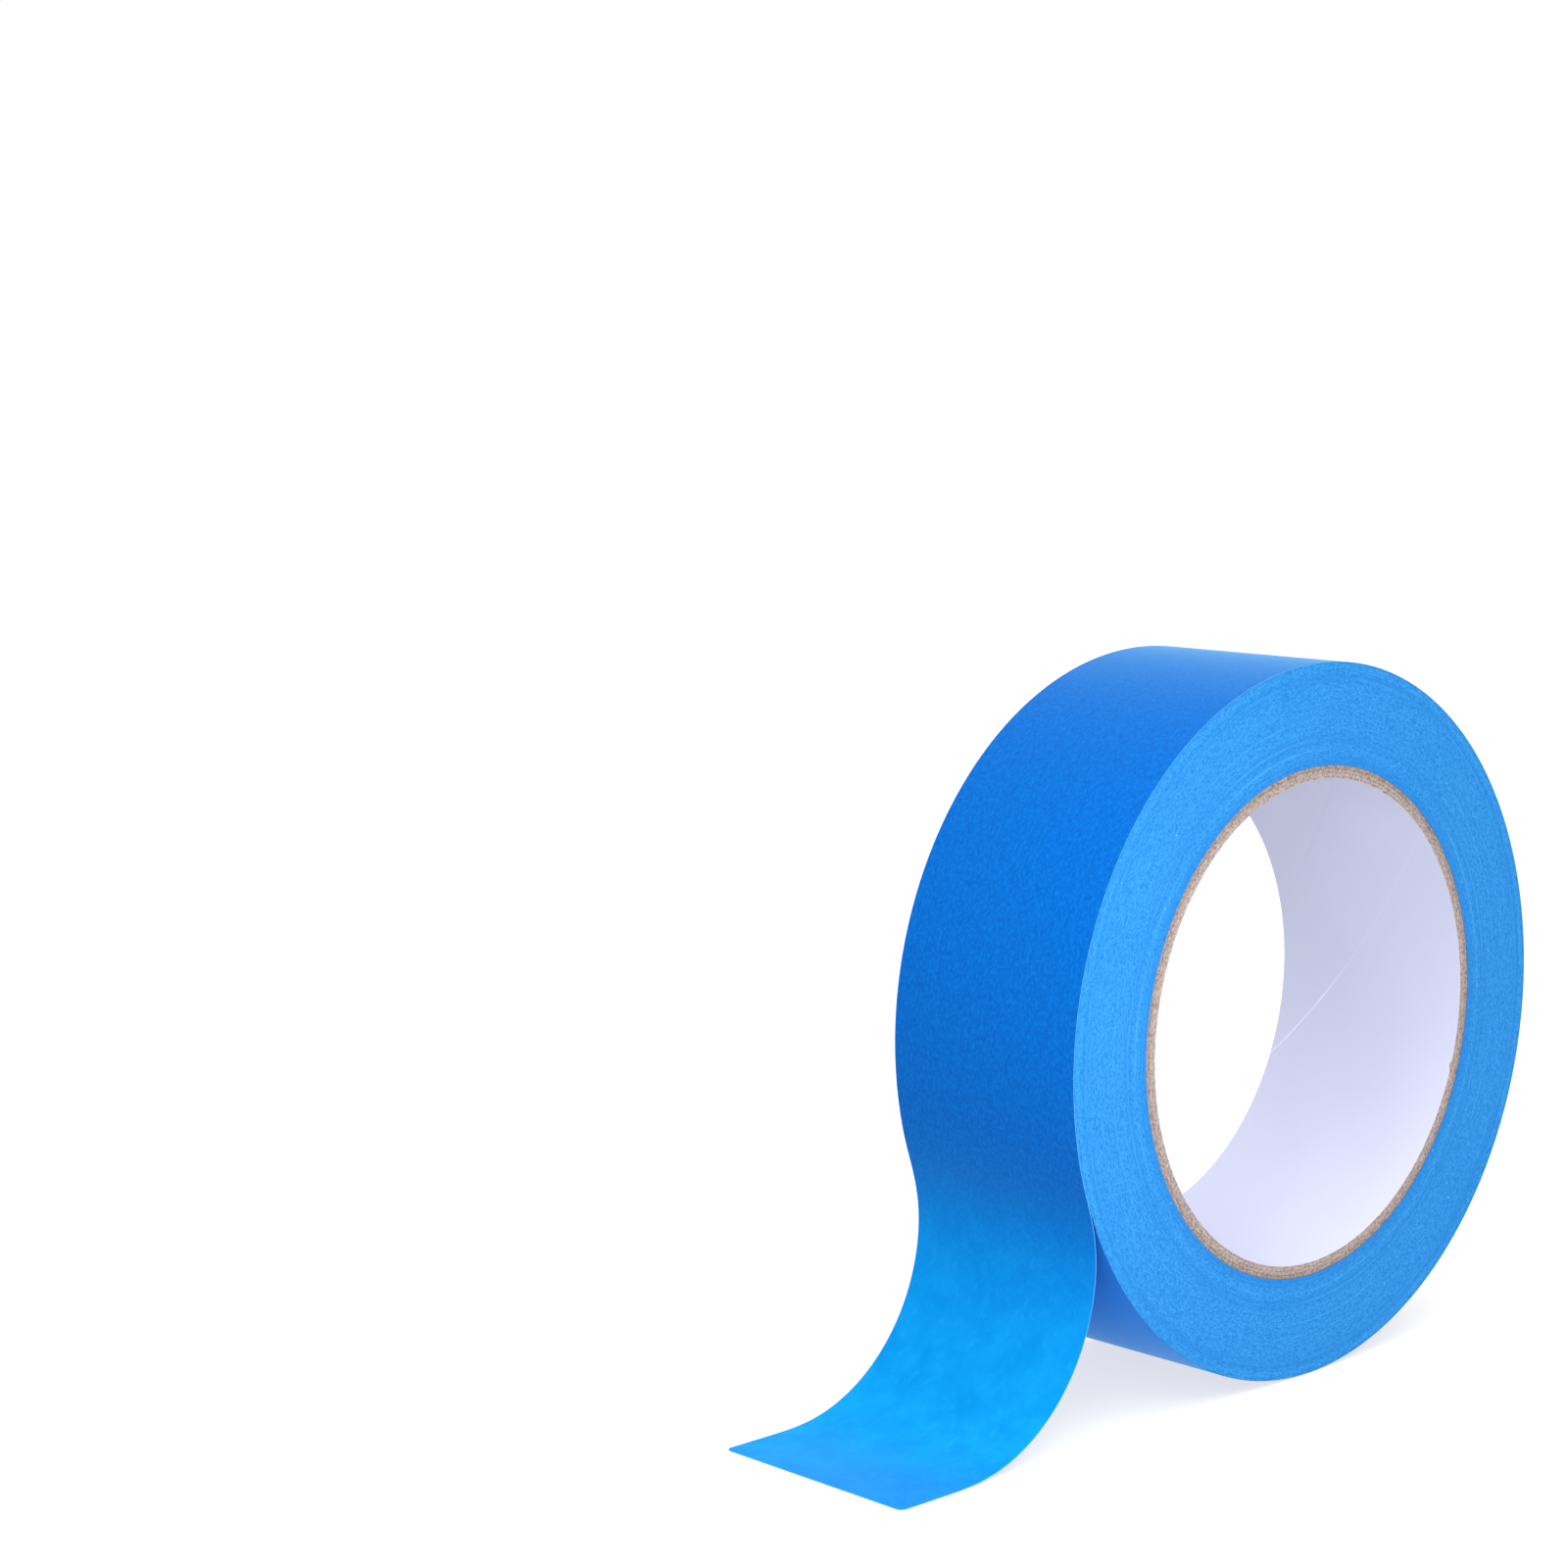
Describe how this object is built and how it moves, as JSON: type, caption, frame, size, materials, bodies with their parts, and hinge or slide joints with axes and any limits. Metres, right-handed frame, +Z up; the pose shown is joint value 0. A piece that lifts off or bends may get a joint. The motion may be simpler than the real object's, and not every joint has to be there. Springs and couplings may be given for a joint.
{
  "type": "masking tape roll",
  "caption": "Roll of blue masking tape on a kraft board core, standing on its edge with the free end peeled off and curled onto the ground.",
  "frame": {"origin": "middle of the core's bore, half way across the tape's width", "axes": "+Y along the bore, from the front side face to the back one; +Z up as the roll stands on its edge; the free end leaves the roll on the -X side"},
  "size_m": [0.1471, 0.036, 0.1122],
  "materials": {
    "tape_paper": "matt crepe paper",
    "kraft_board": "rough kraft board",
    "liner_paper": "smooth white paper",
    "adhesive": "clear tacky film"
  },
  "bodies": {
    "roll": {"core_liner": "liner_paper", "core_ply_inner": "kraft_board", "core_ply_middle": "kraft_board", "core_ply_outer": "kraft_board", "tape_pack": "tape_paper"},
    "last_turn": {"last_turn_backing": "tape_paper", "last_turn_adhesive": "adhesive"},
    "tail_upper": {"tail_upper_backing": "tape_paper", "tail_upper_adhesive": "adhesive"},
    "tail_lower": {"tail_lower_backing": "tape_paper", "tail_lower_adhesive": "adhesive"},
    "tail_end": {"tail_end_backing": "tape_paper", "tail_end_adhesive": "adhesive"}
  },
  "joints": [
    {"name": "unwind", "type": "hinge", "parent": "roll", "child": "last_turn", "pos_m": [0, 0, 0], "axis": [0, 1, 0], "continuous": true},
    {"name": "tail_peel", "type": "hinge", "parent": "last_turn", "child": "tail_upper", "pos_m": [-0.05202, 0, -0.02081], "axis": [0, 1, 0], "range_deg": [0, 80], "stiffness_Nm_per_rad": 0.0005},
    {"name": "tail_bend", "type": "hinge", "parent": "tail_upper", "child": "tail_lower", "pos_m": [-0.05401, 0, -0.04196], "axis": [0, 1, 0], "range_deg": [-35, 35], "stiffness_Nm_per_rad": 0.0005},
    {"name": "tail_end_lift", "type": "hinge", "parent": "tail_lower", "child": "tail_end", "pos_m": [-0.07577, 0, -0.05594], "axis": [0, 1, 0], "range_deg": [-35, 35], "stiffness_Nm_per_rad": 0.0005}
  ]
}
